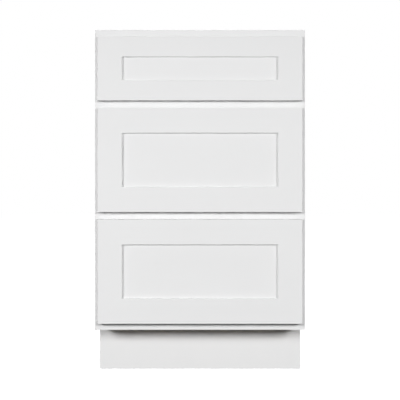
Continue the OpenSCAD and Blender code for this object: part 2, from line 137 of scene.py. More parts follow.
def merged_copy(node, name):
    mesh = frame["nodes"][node].data.copy()
    mesh.materials.clear()
    piece = bpy.data.objects.new(name, mesh)
    bpy.context.scene.collection.objects.link(piece)
    take(piece)
    bpy.ops.mesh.customdata_custom_splitnormals_clear()
    pick(piece, "verts")
    bpy.ops.mesh.remove_doubles(threshold=HAIR / 10)
    bpy.ops.mesh.dissolve_limited(angle_limit=NEARLY_FLAT)
    put_down()
    return piece


def soften(piece, width, segments=2):
    take(piece)
    bevel = piece.modifiers.new("Soft edges", "BEVEL")
    bevel.width = width
    bevel.segments = segments
    bevel.limit_method = "ANGLE"
    bevel.angle_limit = EASY_ANGLE
    bpy.ops.object.modifier_apply(modifier=bevel.name)


def smooth(piece):
    take(piece)
    bpy.ops.object.shade_smooth_by_angle(angle=EASY_ANGLE)
    weights = piece.modifiers.new("Flat faces", "WEIGHTED_NORMAL")
    weights.keep_sharp = True
    bpy.ops.object.modifier_apply(modifier=weights.name)


def bevel_picked(piece, width, segments, wanted):
    count = pick(piece, "edges", wanted)
    bpy.ops.mesh.bevel(offset=width, segments=segments, affect="EDGES", clamp_overlap=True)
    put_down()
    return count


print("board tools are ready")

# %% [markdown]
# ## Grain that follows the board
#
# Timber is cut along the tree, so its grain runs the length of each board, and sawn ends look
# different from faces. Each wooden piece is given two attributes: `board` says how far a point
# lies along, across and through the board, and `facing` says which way a face looks in those
# same three directions. One wood material can then dress boards that point any way. Each
# board starts at its own place in a long log, so no two show the same figure.

# %% Lay the grain
LOG_LENGTH = 3


def lay_grain(piece, along, through):
    across = X + Y + Z - along - through
    order = (along, across, through)
    mesh = piece.data
    shift = random.Random(piece.name).uniform(0, LOG_LENGTH)
    start = min(vertex.co[through] for vertex in mesh.vertices)
    offset = {along: shift, across: shift, through: -start}
    board = mesh.attributes.new("board", "FLOAT_VECTOR", "POINT")
    board.data.foreach_set("vector", [v.co[i] + offset[i] for v in mesh.vertices for i in order])
    facing = mesh.attributes.new("facing", "FLOAT_VECTOR", "FACE")
    facing.data.foreach_set("vector", [abs(f.normal[i]) for f in mesh.polygons for i in order])


print("grain tool is ready")

# %% [markdown]
# ## Wiring shaders
#
# A procedural finish is a small network of nodes. These helpers add a node, set it and feed
# its sockets in one call. A socket takes either a plain value or the output of another node.

# %% Node helpers


def wire(tree, value, socket):
    if isinstance(value, bpy.types.NodeSocket):
        tree.links.new(value, socket)
    else:
        socket.default_value = value


def add(tree, kind, feeds=None, **settings):
    node = tree.nodes.new(kind)
    for key, value in settings.items():
        setattr(node, key, value)
    for key, value in (feeds or {}).items():
        wire(tree, value, node.inputs[key])
    return node


def calc(tree, operation, *values):
    feeds = dict(enumerate(values))
    return add(tree, "ShaderNodeMath", feeds, operation=operation).outputs[0]


def spread(tree, value, low, high, new_low=0.0, new_high=1.0):
    feeds = {
        "Value": value, "From Min": low, "From Max": high,
        "To Min": new_low, "To Max": new_high,
    }
    return add(tree, "ShaderNodeMapRange", feeds).outputs["Result"]


def noise(tree, place, scale, detail=2.0, stretch=(1.0, 1.0, 1.0)):
    mapped = add(tree, "ShaderNodeMapping", {"Vector": place, "Scale": stretch})
    feeds = {"Vector": mapped.outputs["Vector"], "Scale": scale, "Detail": detail}
    return add(tree, "ShaderNodeTexNoise", feeds).outputs["Fac"]


def average(tree, first, share, second):
    first_part = calc(tree, "MULTIPLY", first, share)
    second_part = calc(tree, "MULTIPLY", second, 1.0 - share)
    return calc(tree, "ADD", first_part, second_part)


def blend_colours(tree, share, first, second):
    # A Mix node has sockets for numbers, vectors and colours, and these are the colours' ones
    node = add(tree, "ShaderNodeMix", {0: share, 6: first, 7: second}, data_type="RGBA")
    return node.outputs[2]


def start_group(name, inputs, outputs):
    tree = bpy.data.node_groups.new(name, "ShaderNodeTree")
    for label, kind, value in inputs:
        socket = tree.interface.new_socket(label, in_out="INPUT", socket_type=kind)
        socket.default_value = value
    for label in outputs:
        tree.interface.new_socket(label, in_out="OUTPUT", socket_type="NodeSocketFloat")
    ends = add(tree, "NodeGroupInput"), add(tree, "NodeGroupOutput")
    return tree, *ends


def use_group(tree, group, feeds):
    node = add(tree, "ShaderNodeGroup", node_tree=group)
    for key, value in feeds.items():
        wire(tree, value, node.inputs[key])
    return node.outputs


VECTOR = "NodeSocketVector"
FLOAT = "NodeSocketFloat"
print("node helpers are ready")

# %% [markdown]
# ## The sprayed film
#
# Cabinet paint is sprayed, and as it levels it keeps a faint dimpled skin, called orange peel,
# about a millimetre across. Its sheen and tone also drift a little over a hand's width. Both
# could be painted by hand, but fine and broad noise does it for any surface.

# %% Film group
DIMPLE_SCALE = 0.28
PATCH_SCALE = 6.0
PEEL_SHARE = 0.6
DRIFT_SHARE = 0.7


def make_sprayed_film():
    inputs = [("Place", VECTOR, (0, 0, 0)), ("Peel", FLOAT, 900.0), ("Drift", FLOAT, 7.0)]
    tree, start, end = start_group("sprayed_film", inputs, ["Tone", "Sheen", "Height"])
    place = start.outputs["Place"]
    peel_scale = start.outputs["Peel"]
    drift_scale = start.outputs["Drift"]
    peel = noise(tree, place, peel_scale, 1.0)
    dimples = noise(tree, place, calc(tree, "MULTIPLY", peel_scale, DIMPLE_SCALE), 2.0)
    drift = noise(tree, place, drift_scale, 3.0)
    patches = noise(tree, place, calc(tree, "MULTIPLY", drift_scale, PATCH_SCALE), 2.0)
    wire(tree, average(tree, drift, DRIFT_SHARE, patches), end.inputs["Tone"])
    wire(tree, patches, end.inputs["Sheen"])
    wire(tree, average(tree, peel, PEEL_SHARE, dimples), end.inputs["Height"])
    return tree


sprayed_film = make_sprayed_film()
print("group", sprayed_film.name, len(sprayed_film.nodes), "nodes")

# %% [markdown]
# ## Wood figure
#
# Growth rings are rough cylinders round the tree's middle. A flat board cuts them at a slant,
# which draws the long flames on its face and arcs on its ends. The group measures the distance
# from a line below the board, bends it with slow noise, and folds it into rings. In each ring
# the pale early wood darkens slowly into late wood, and soon after that the next ring begins.
# Fibres are noise stretched along the grain.

# %% Figure group
SWAY_SCALE, SWAY_STRETCH = 2.2, (0.4, 2.6, 2.6)
SWAY_REACH = 4.0
LOG_RADIUS = 0.11
EARLY_WOOD, LATE_WOOD = 0.35, 0.92
FIBRE_SCALE, FIBRE_STRETCH = 700.0, (0.035, 1.0, 1.0)
FLECK_SCALE, FLECK_STRETCH = 520.0, (0.12, 1.0, 1.0)
FLECK_LOW, FLECK_HIGH = 0.62, 0.72


def make_wood_figure():
    inputs = [
        ("Board", VECTOR, (0, 0, 0)), ("Ring", FLOAT, 0.004),
        ("Wander", FLOAT, 0.012), ("Depth of heart", FLOAT, 0.07),
    ]
    tree, start, end = start_group("wood_figure", inputs, ["Rings", "Fibres", "Flecks"])
    board = start.outputs["Board"]
    parts = add(tree, "ShaderNodeSeparateXYZ", {"Vector": board})
    sway = noise(tree, board, SWAY_SCALE, 2.0, SWAY_STRETCH)
    wander = calc(tree, "MULTIPLY", calc(tree, "SUBTRACT", sway, 0.5), start.outputs["Wander"])
    wander = calc(tree, "MULTIPLY", wander, SWAY_REACH)
    sideways = calc(tree, "PINGPONG", parts.outputs["Y"], LOG_RADIUS)
    deep = calc(tree, "ADD", parts.outputs["Z"], start.outputs["Depth of heart"])
    square = calc(tree, "ADD", calc(tree, "POWER", sideways, 2.0), calc(tree, "POWER", deep, 2.0))
    radius = calc(tree, "ADD", calc(tree, "SQRT", square), wander)
    ring = calc(tree, "FRACT", calc(tree, "DIVIDE", radius, start.outputs["Ring"]))
    fade_in = calc(tree, "POWER", spread(tree, ring, EARLY_WOOD, LATE_WOOD), 2.0)
    fade_out = spread(tree, ring, LATE_WOOD, 1.0, 1.0, 0.0)
    wire(tree, calc(tree, "MULTIPLY", fade_in, fade_out), end.inputs["Rings"])
    wire(tree, noise(tree, board, FIBRE_SCALE, 3.0, FIBRE_STRETCH), end.inputs["Fibres"])
    flecks = noise(tree, board, FLECK_SCALE, 1.0, FLECK_STRETCH)
    wire(tree, spread(tree, flecks, FLECK_LOW, FLECK_HIGH), end.inputs["Flecks"])
    return tree


wood_figure = make_wood_figure()
print("group", wood_figure.name, len(wood_figure.nodes), "nodes")

# %% [markdown]
# ## Plies on a cut edge
#
# A sawn plywood edge shows its layers. Every other layer is cut across the fibres and looks
# darker, and a thin glue line parts them. The depth through the board, divided by the thickness
# of one ply, gives both: its whole part picks the layer and its fraction finds the line.

# %% Ply group
PLY_WAVE = 0.0003
PLY_WAVE_SCALE = 22.0
GLUE_WIDTH = 0.09
STREAK_SCALE, STREAK_STRETCH = 1500.0, (1.0, 1.0, 0.5)


def make_ply_layers():
    inputs = [("Board", VECTOR, (0, 0, 0)), ("Ply", FLOAT, 0.0014)]
    tree, start, end = start_group("ply_layers", inputs, ["Crossed", "Glue", "Streaks"])
    board = start.outputs["Board"]
    parts = add(tree, "ShaderNodeSeparateXYZ", {"Vector": board})
    sway = calc(tree, "SUBTRACT", noise(tree, board, PLY_WAVE_SCALE), 0.5)
    bend = calc(tree, "MULTIPLY", sway, PLY_WAVE)
    count = calc(tree, "DIVIDE", calc(tree, "ADD", parts.outputs["Z"], bend), start.outputs["Ply"])
    crossed = calc(tree, "MODULO", calc(tree, "FLOOR", count), 2.0)
    part = calc(tree, "FRACT", count)
    line = calc(tree, "MINIMUM", part, calc(tree, "SUBTRACT", 1.0, part))
    wire(tree, calc(tree, "ABSOLUTE", crossed), end.inputs["Crossed"])
    wire(tree, spread(tree, line, 0.0, GLUE_WIDTH, 1.0, 0.0), end.inputs["Glue"])
    wire(tree, noise(tree, board, STREAK_SCALE, 2.0, STREAK_STRETCH), end.inputs["Streaks"])
    return tree


ply_layers = make_ply_layers()
print("group", ply_layers.name, len(ply_layers.nodes), "nodes")

# %% [markdown]
# ## Rolled zinc
#
# Slide steel is zinc-plated strip. Rolling leaves very fine lines along it, and the plating
# dries in cloudy patches that change its gloss more than its colour. The group makes both from
# noise, one stretched along the slides and one round.

# %% Zinc group
LINE_SCALE, LINE_STRETCH = 2600.0, (1.0, 0.012, 1.0)


def make_rolled_zinc():
    inputs = [("Place", VECTOR, (0, 0, 0)), ("Cloud", FLOAT, 90.0)]
    tree, start, end = start_group("rolled_zinc", inputs, ["Lines", "Clouds"])
    place = start.outputs["Place"]
    wire(tree, noise(tree, place, LINE_SCALE, 2.0, LINE_STRETCH), end.inputs["Lines"])
    wire(tree, noise(tree, place, start.outputs["Cloud"], 4.0), end.inputs["Clouds"])
    return tree


rolled_zinc = make_rolled_zinc()
print("group", rolled_zinc.name, len(rolled_zinc.nodes), "nodes")

# %% [markdown]
# ## Satin white paint
#
# The fronts, the face frame and the outer sides are sprayed in a satin white. A plain white
# would look like plastic, so the film group moves its tone by one or two parts in a hundred,
# opens and closes its sheen, and lifts its skin by a few thousandths of a millimetre. The wood
# below shows through the paint as the faintest of fibres.

# %% Paint
MASK_LOW, MASK_HIGH = 0.3, 0.7  # nearly all of a noise lies between these


def start_material(name):
    material = bpy.data.materials.new(name)
    material.use_nodes = True
    tree = material.node_tree
    return material, tree, tree.nodes["Principled BSDF"]


def object_place(tree):
    return add(tree, "ShaderNodeTexCoord").outputs["Object"]


def attribute(tree, name):
    return add(tree, "ShaderNodeAttribute", attribute_name=name).outputs["Vector"]


def looks_along(tree, way):
    facing = add(tree, "ShaderNodeSeparateXYZ", {"Vector": attribute(tree, "facing")})
    return calc(tree, "GREATER_THAN", facing.outputs[way], 0.5)


def vary_gloss(tree, shader, mask, polished, dull):
    roughness = spread(tree, mask, MASK_LOW, MASK_HIGH, polished, dull)
    wire(tree, roughness, shader.inputs["Roughness"])


def lift(tree, shader, height, distance):
    bump = add(tree, "ShaderNodeBump", {"Height": height, "Distance": distance, "Strength": 1.0})
    wire(tree, bump.outputs["Normal"], shader.inputs["Normal"])


WHITE_LOW = (0.754, 0.755, 0.756, 1.0)
WHITE_HIGH = (0.778, 0.779, 0.781, 1.0)
SATIN_GLOSS = 0.25
PAINT_SKIN = 0.000012
SHOW_THROUGH = 0.35


def make_satin_paint():
    material, tree, shader = start_material("satin_white_paint")
    film = use_group(tree, sprayed_film, {"Place": object_place(tree)})
    figure = use_group(tree, wood_figure, {"Board": attribute(tree, "board")})
    colour = blend_colours(tree, film["Tone"], WHITE_LOW, WHITE_HIGH)
    wire(tree, colour, shader.inputs["Base Color"])
    vary_gloss(tree, shader, film["Sheen"], polished=0.38, dull=0.46)
    shader.inputs["Specular IOR Level"].default_value = SATIN_GLOSS
    fibres = calc(tree, "MULTIPLY", figure["Fibres"], SHOW_THROUGH)
    lift(tree, shader, calc(tree, "ADD", film["Height"], fibres), PAINT_SKIN)
    return material


satin_paint = make_satin_paint()
print("material", satin_paint.name)

# %% [markdown]
# ## Birch plywood
#
# The cabinet box is birch plywood with a clear lacquer. Its face veneer is peeled from the log,
# so the figure is broad and pale, and its cut edges show the plies. The `facing` attribute
# tells the two apart: a face that looks through the board is veneer, any other is a cut edge.

# %% Plywood
BIRCH_PALE = (0.72, 0.575, 0.40, 1.0)
BIRCH_DARK = (0.63, 0.475, 0.30, 1.0)
PLY_LONG = (0.69, 0.55, 0.375, 1.0)
PLY_CROSS = (0.545, 0.405, 0.25, 1.0)
GLUE_LINE = (0.33, 0.225, 0.135, 1.0)
BIRCH_RINGS, BIRCH_FIBRES = 0.55, 0.22
PLY_STREAKS, PLY_GLUE = 0.4, 0.75
FIBRE_LOW, FIBRE_HIGH = 0.35, 0.75
VENEER_ROUGHNESS, SAWN_ROUGHNESS = 0.42, 0.72
PLY_SKIN = 0.00003


def tint(tree, colour, mask, share, other):
    return blend_colours(tree, calc(tree, "MULTIPLY", mask, share), colour, other)


def make_plywood():
    material, tree, shader = start_material("birch_plywood")
    board = attribute(tree, "board")
    feeds = {"Board": board, "Ring": 0.013, "Wander": 0.03, "Depth of heart": 0.16}
    figure = use_group(tree, wood_figure, feeds)
    layers = use_group(tree, ply_layers, {"Board": board})
    veneer = tint(tree, BIRCH_PALE, figure["Rings"], BIRCH_RINGS, BIRCH_DARK)
    fibres = spread(tree, figure["Fibres"], FIBRE_LOW, FIBRE_HIGH)
    veneer = tint(tree, veneer, fibres, BIRCH_FIBRES, BIRCH_DARK)
    plies = blend_colours(tree, layers["Crossed"], PLY_LONG, PLY_CROSS)
    plies = tint(tree, plies, layers["Streaks"], PLY_STREAKS, PLY_LONG)
    plies = tint(tree, plies, layers["Glue"], PLY_GLUE, GLUE_LINE)
    is_face = looks_along(tree, "Z")
    wire(tree, blend_colours(tree, is_face, plies, veneer), shader.inputs["Base Color"])
    roughness = spread(tree, is_face, 0.0, 1.0, SAWN_ROUGHNESS, VENEER_ROUGHNESS)
    wire(tree, roughness, shader.inputs["Roughness"])
    lift(tree, shader, calc(tree, "ADD", figure["Fibres"], layers["Glue"]), PLY_SKIN)
    return material


plywood = make_plywood()
print("material", plywood.name)

# %% [markdown]
# ## Hard maple
#
# The drawer boxes are solid maple under clear lacquer: pale, close-grained, with thin rings and
# tiny flecks. Sawn ends drink more lacquer and look browner, and at a dovetail corner that
# change of tone is what draws the joint.

# %% Maple
MAPLE_PALE = (0.735, 0.575, 0.375, 1.0)
MAPLE_RING = (0.60, 0.42, 0.235, 1.0)
MAPLE_FLECK = (0.50, 0.335, 0.18, 1.0)
MAPLE_END = (0.44, 0.285, 0.145, 1.0)
MAPLE_RINGS, MAPLE_FIBRES, MAPLE_FLECKS = 0.75, 0.25, 0.3
END_RINGS, END_PORES = 0.6, 0.45
PORE_SCALE, PORE_STRETCH = 2400.0, (0.05, 1.0, 1.0)
PORE_LOW, PORE_HIGH = 0.4, 0.7
FACE_ROUGHNESS, END_ROUGHNESS = 0.36, 0.55
MAPLE_SKIN = 0.00002


def make_maple():
    material, tree, shader = start_material("lacquered_maple")
    board = attribute(tree, "board")
    figure = use_group(tree, wood_figure, {"Board": board, "Ring": 0.0045, "Wander": 0.014})
    wood = tint(tree, MAPLE_PALE, figure["Rings"], MAPLE_RINGS, MAPLE_RING)
    fibres = spread(tree, figure["Fibres"], FIBRE_LOW, FIBRE_HIGH)
    wood = tint(tree, wood, fibres, MAPLE_FIBRES, MAPLE_RING)
    wood = tint(tree, wood, figure["Flecks"], MAPLE_FLECKS, MAPLE_FLECK)
    ends = tint(tree, MAPLE_END, figure["Rings"], END_RINGS, MAPLE_FLECK)
    pores = noise(tree, board, PORE_SCALE, 2.0, PORE_STRETCH)
    pores = spread(tree, pores, PORE_LOW, PORE_HIGH, 0.0, END_PORES)
    ends = blend_colours(tree, pores, ends, MAPLE_RING)
    is_end = looks_along(tree, "X")
    wire(tree, blend_colours(tree, is_end, wood, ends), shader.inputs["Base Color"])
    roughness = spread(tree, is_end, 0.0, 1.0, FACE_ROUGHNESS, END_ROUGHNESS)
    wire(tree, roughness, shader.inputs["Roughness"])
    lift(tree, shader, figure["Fibres"], MAPLE_SKIN)
    return material


maple = make_maple()
print("material", maple.name)

# %% [markdown]
# ## Steel, plastics and vinyl
#
# The slides are zinc-plated steel, so their colour sits in the reflection and the shader is
# fully metallic. Clips and levers are moulded plastic with a fine matt texture from the tool.
# The bumpers are soft clear vinyl, a little cloudy, which light passes through.

# %% Hardware finishes
ZINC_DARK, ZINC_LIGHT = (0.56, 0.57, 0.585, 1.0), (0.70, 0.71, 0.725, 1.0)
SCREW_DARK, SCREW_LIGHT = (0.50, 0.50, 0.50, 1.0), (0.66, 0.66, 0.655, 1.0)
CLIP_DARK, CLIP_LIGHT = (0.115, 0.122, 0.132, 1.0), (0.150, 0.158, 0.170, 1.0)
LEVER_DARK, LEVER_LIGHT = (0.32, 0.335, 0.355, 1.0), (0.385, 0.40, 0.42, 1.0)
VINYL_DARK, VINYL_LIGHT = (0.78, 0.79, 0.78, 1.0), (0.90, 0.91, 0.90, 1.0)
ZINC_POLISH, SCREW_POLISH = 0.28, 0.22
CLOUD_SHARE = 0.7
CLOUD_DULLNESS = 0.16
ZINC_SKIN = 0.000004
MOULD_SKIN = 0.00002
VINYL_CLEARNESS = 0.65
VINYL_IOR = 1.5


def make_zinc(name, dark, light, polish):
    material, tree, shader = start_material(name)
    zinc = use_group(tree, rolled_zinc, {"Place": object_place(tree)})
    tone = average(tree, zinc["Clouds"], CLOUD_SHARE, zinc["Lines"])
    wire(tree, blend_colours(tree, tone, dark, light), shader.inputs["Base Color"])
    shader.inputs["Metallic"].default_value = 1.0
    vary_gloss(tree, shader, zinc["Clouds"], polish, polish + CLOUD_DULLNESS)
    lift(tree, shader, zinc["Lines"], ZINC_SKIN)
    return material


def start_moulded(name, dark, light, peel, drift):
    material, tree, shader = start_material(name)
    feeds = {"Place": object_place(tree), "Peel": peel, "Drift": drift}
    film = use_group(tree, sprayed_film, feeds)
    wire(tree, blend_colours(tree, film["Tone"], dark, light), shader.inputs["Base Color"])
    return material, tree, shader, film


def make_plastic(name, dark, light):
    material, tree, shader, film = start_moulded(name, dark, light, peel=3200.0, drift=30.0)
    vary_gloss(tree, shader, film["Sheen"], polished=0.42, dull=0.55)
    lift(tree, shader, film["Height"], MOULD_SKIN)
    return material


def make_vinyl(name, dark, light):
    material, tree, shader, film = start_moulded(name, dark, light, peel=1500.0, drift=160.0)
    vary_gloss(tree, shader, film["Sheen"], polished=0.18, dull=0.32)
    shader.inputs["Transmission Weight"].default_value = VINYL_CLEARNESS
    shader.inputs["IOR"].default_value = VINYL_IOR
    return material


zinc_steel = make_zinc("zinc_plated_steel", ZINC_DARK, ZINC_LIGHT, ZINC_POLISH)
screw_steel = make_zinc("screw_steel", SCREW_DARK, SCREW_LIGHT, SCREW_POLISH)
clip_plastic = make_plastic("dark_grey_plastic", CLIP_DARK, CLIP_LIGHT)
lever_plastic = make_plastic("pale_grey_plastic", LEVER_DARK, LEVER_LIGHT)
clear_vinyl = make_vinyl("clear_vinyl", VINYL_DARK, VINYL_LIGHT)
finishes = (zinc_steel, screw_steel, clip_plastic, lever_plastic, clear_vinyl)
print("materials", [finish.name for finish in finishes])

# %% [markdown]
# ## Handing a piece over
#
# A finished piece moves with a body of the mechanism, takes over from the construction node
# that it dresses, and wears the finish that it is given. One helper does all of that,
# so that no piece is forgotten.

# %% Hand over
body_of_node = {
    node: body for body, nodes in frame["record"]["behaviour"]["bodies"].items() for node in nodes
}
made = {}


def hand_over(piece, material, node=None, body=None):
    piece.data.materials.clear()
    piece.data.materials.append(material)
    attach(piece, body or body_of_node[node])
    if node:
        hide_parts(node)
    made[piece.name] = len(piece.data.polygons)
    return piece


# %% [markdown]
# ## The plywood box
#
# The box is glued from plywood: two sides, a bottom let into them, a back, the rail that the
# wall screws go through, a toe kick, and a brace in each upper corner. The construction model
# has cut them already, so each is copied, its arrises are eased by about a third of a
# millimetre, and its grain is laid. The outer faces of the sides are painted, and so is all
# of the toe kick but its back.

# %% Panels
PANEL_EASE = 0.0003
TURNED_OUT = 0.3  # a side's face that looks outwards by more than this is painted
TURNED_BACK = 0.5  # a face of the toe kick that looks back by more than this stays bare


def dress(node, along, through, ease, material):
    piece = merged_copy(node, node + "_dressed")
    soften(piece, ease)
    smooth(piece)
    lay_grain(piece, along, through)
    return hand_over(piece, material, node)


def paint_faces(piece, wanted):
    piece.data.materials.append(satin_paint)
    painted = [face for face in piece.data.polygons if wanted(face)]
    for face in painted:
        face.material_index = 1
    return len(painted)


for side, node in ((LEFT, "left_side"), (RIGHT, "right_side")):
    panel = dress(node, Z, X, PANEL_EASE, plywood)
    paint_faces(panel, lambda face: face.normal.x * side > TURNED_OUT)

toe_kick = dress("toe_kick_board", X, Y, PANEL_EASE, plywood)
paint_faces(toe_kick, lambda face: face.normal.y < TURNED_BACK)
dress("bottom_panel", X, Z, PANEL_EASE, plywood)
dress("back_panel", Z, Y, PANEL_EASE, plywood)
dress("hanging_rail", X, Y, PANEL_EASE, plywood)
dress("corner_braces", Y, Z, PANEL_EASE, plywood)
print("box:", ", ".join(made))

# %% [markdown]
# ## The face frame
#
# Two stiles and four rails make the frame that the fronts close against. They are tenoned,
# sanded flush and painted as one, so no line shows where they meet. That is why only the free
# edges are rounded here: a bevel on an edge inside a joint would open a groove across it.

# %% Frame members
FRAME_EASE = 0.0005
stile_low, stile_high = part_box("frame_right_stile")
frame_front = stile_low.y


def middle(edge):
    return (edge.verts[0].co + edge.verts[1].co) / 2


def runs(edge, axis):
    way = edge.verts[1].co - edge.verts[0].co
    return abs(way[axis]) > SAME_WAY * way.length


def finish_frame_member(node, along, wanted):
    piece = merged_copy(node, node + "_painted")
    count = bevel_picked(piece, FRAME_EASE, 3, wanted)
    smooth(piece)
    lay_grain(piece, along, Y)
    hand_over(piece, satin_paint, node)
    return count


for node in ("frame_left_stile", "frame_right_stile"):
    eased = finish_frame_member(
        node, Z, lambda edge: runs(edge, Z) and near(abs(middle(edge).x), stile_high.x))
    print(node, eased, "edges rounded")

for level in ("top", "upper", "lower", "bottom"):
    node = f"frame_{level}_rail"
    eased = finish_frame_member(
        node, X, lambda edge: runs(edge, X) and near(middle(edge).y, frame_front))
    print(node, eased, "edges rounded")

# %% [markdown]
# ## One profile for every stile and rail
#
# The frame of a shaker front is cut from one moulding: a flat stick with a small bevel on its
# inner edge, a groove for the panel behind it, and a softened outer edge. A shaper cuts that
# profile along the whole stick. The same way works here: the profile is drawn as a flat face
# at one end, cut into strips, its groove is taken out and its corners are bevelled. Pulled out
# to length it becomes the stick.

# %% Draw a profile
OUTER_ROUND = 0.0012
QUARTER = math.pi / 2


def bevel_of(stile):
    low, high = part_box(stile)
    face = [v.co.x for v in frame["nodes"][stile].data.vertices if near(v.co.y, low.y)]
    return high.x - max(face)


inner_bevel = bevel_of("top_front_left_stile")
groove_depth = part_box("top_front_left_stile")[1].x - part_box("top_front_upper_rail")[0].x


def cut_through(piece, axis, place):
    point, normal = Vector((0, 0, 0)), Vector((0, 0, 0))
    point[axis], normal[axis] = place, 1
    pick(piece, "faces")
    bpy.ops.mesh.bisect(plane_co=point, plane_no=normal)
    put_down()


def in_groove_layer(face, panel):
    return panel[0].y < face.calc_center_median().y < panel[1].y


def draw_profile(name, low, high, panel, across):
    rising = low[across] < panel[0][across]
    outer, inner = (low[across], high[across]) if rising else (high[across], low[across])
    turn = (0, 0, 0) if across == X else (0, QUARTER, 0)
    along = X + Z - across
    end = (low + high) / 2
    end[along] = low[along]
    bpy.ops.mesh.primitive_plane_add(size=1, location=end, rotation=turn)
    stick = bpy.context.object
    stick.name = name
    stick.scale = (high[across] - low[across], high.y - low.y, 1)
    bpy.ops.object.transform_apply(location=True, rotation=True, scale=True)

    cut_through(stick, across, inner + (-groove_depth if rising else groove_depth))
    for place in (low.y + inner_bevel, panel[0].y, panel[1].y):
        cut_through(stick, Y, place)

    def in_groove(face):
        inside = abs(face.calc_center_median()[across] - inner) < groove_depth
        return inside and in_groove_layer(face, panel)

    pick(stick, "faces", in_groove)
    bpy.ops.mesh.delete(type="FACE")
    put_down()
    for corner, width, segments in ((inner, inner_bevel, 1), (outer, OUTER_ROUND, 3)):
        pick(stick, "verts", lambda v: near(v.co[across], corner) and near(v.co.y, low.y))
        bpy.ops.mesh.bevel(offset=width, segments=segments, affect="VERTICES")
        put_down()
    return stick


print("bevel", round(inner_bevel * 1000, 2), "mm, groove", round(groove_depth * 1000, 2), "mm deep")

# %% [markdown]
# ## Stiles
#
# A stile is the profile pulled up over the whole height of the front. Its strips are then
# joined again, because they lie flat beside each other, and its two ends get the same round
# as its outer edge.

# %% Pull a stile


def pull(piece, way, wanted=lambda face: True):
    pick(piece, "faces", wanted)
    bpy.ops.mesh.extrude_region_move(TRANSFORM_OT_translate={"value": way})
    put_down()


def close_up(piece):
    pick(piece, "faces")
    bpy.ops.mesh.normals_make_consistent(inside=False)
    bpy.ops.mesh.dissolve_limited(angle_limit=NEARLY_FLAT)
    put_down()


def make_stile(name, node, panel):
    low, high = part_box(node)
    stile = draw_profile(name, low, high, panel, X)
    pull(stile, (0, 0, high.z - low.z))
    close_up(stile)

    def at_front_end(edge):
        ends = [v.co for v in edge.verts]
        level = any(all(near(p.z, z) for p in ends) for z in (low.z, high.z))
        return level and all(p.y < low.y + OUTER_ROUND + HAIR for p in ends)

    bevel_picked(stile, OUTER_ROUND, 3, at_front_end)
    return stile


print("stiles are pulled along Z")

# %% [markdown]
# ## Rails and their coped ends
#
# A rail's end is cut to the exact reverse of the stile's profile, so that the two close on
# each other. Its body stops at the stile's inner edge, and from there only the strip in line
# with the groove is pulled on, as a tongue. In front, the end is drawn out over the stile's
# bevel, level by level: each point goes as far as the bevel there falls back. The two bevels
# then meet in a mitre that nobody had to cut.

# %% Pull and cope a rail


def make_rail(name, node, panel, shoulder):
    low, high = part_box(node)
    low.x, high.x = -shoulder, shoulder
    rail = draw_profile(name, low, high, panel, Z)
    pull(rail, (2 * shoulder, 0, 0))
    for side in (LEFT, RIGHT):
        pull(rail, (side * groove_depth, 0, 0), lambda face: (
            near(face.calc_center_median().x, side * shoulder) and in_groove_layer(face, panel)))
        bevel_back = low.y + inner_bevel - HAIR
        levels = {round(v.co.y, 6) for v in rail.data.vertices if v.co.y < bevel_back}
        for level in sorted(levels):
            pick(rail, "verts", lambda v: near(v.co.x, side * shoulder) and near(v.co.y, level))
            reach = inner_bevel - (level - low.y)
            bpy.ops.transform.translate(value=(side * reach, 0, 0))
            put_down()
    close_up(rail)
    return rail


print("rails are pulled along X")

# %% [markdown]
# ## Three fronts
#
# Each front is two stiles, two rails and a flat panel. The panel starts as a block in its
# place in the grooves, and its arrises are rubbed down. All five are painted as one, so
# nothing is bevelled where they touch and no line shows at the joints.

# %% Make the fronts
PANEL_ROUND = 0.0005


def add_block(name, low, high):
    bpy.ops.mesh.primitive_cube_add(size=1, location=(low + high) / 2)
    block = bpy.context.object
    block.name = name
    block.scale = high - low
    bpy.ops.object.transform_apply(location=True, rotation=True, scale=True)
    return block


def finish_front_piece(piece, node, along):
    smooth(piece)
    lay_grain(piece, along, Y)
    hand_over(piece, satin_paint, node)


DRAWERS = ("top", "middle", "bottom")
for drawer in DRAWERS:
    front = f"{drawer}_front"
    panel_node = f"{front}_panel"
    panel_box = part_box(panel_node)
    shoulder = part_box(f"{front}_right_stile")[0].x
    for side in ("left", "right"):
        node = f"{front}_{side}_stile"
        finish_front_piece(make_stile(f"{node}_moulded", node, panel_box), node, Z)
    for level in ("upper", "lower"):
        node = f"{front}_{level}_rail"
        finish_front_piece(make_rail(f"{node}_moulded", node, panel_box, shoulder), node, X)
    panel = add_block(f"{panel_node}_moulded", *panel_box)
    bevel_picked(panel, PANEL_ROUND, 2, lambda edge: True)
    finish_front_piece(panel, panel_node, Z)
    print(front, [count for name, count in made.items() if name.startswith(front)], "faces")

# %% [markdown]
# ## Dovetailed drawer boxes
#
# The boxes are maple, joined with half-blind dovetails: the tails on the sides slip into
# sockets in the front and back boards. Their top edges are rounded where hands reach in, by a
# bevel along the length of each board. Everything else gets the hairline that a sanding block
# leaves, and it is those hairlines, with the change of grain, that show the joint.

# %% Boxes
TOP_ROUND = 0.002
HAIRLINE = 0.00015
for drawer in DRAWERS:
    boards = (
        ("left_side", Y, X), ("right_side", Y, X), ("subfront", X, Y), ("back", X, Y),
    )
    for part, along, through in boards:
        node = f"{drawer}_drawer_{part}"
        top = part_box(node)[1].z
        board = merged_copy(node, node + "_planed")
        bevel_picked(board, TOP_ROUND, 3, lambda e: runs(e, along) and near(middle(e).z, top))
        soften(board, HAIRLINE, 1)
        smooth(board)
        lay_grain(board, along, through)
        hand_over(board, maple, node)
    dress(f"{drawer}_drawer_bottom", X, Z, HAIRLINE, plywood)
    faces = [count for name, count in made.items() if name.startswith(f"{drawer}_drawer")]
    print(drawer, "box,", sum(faces), "faces")

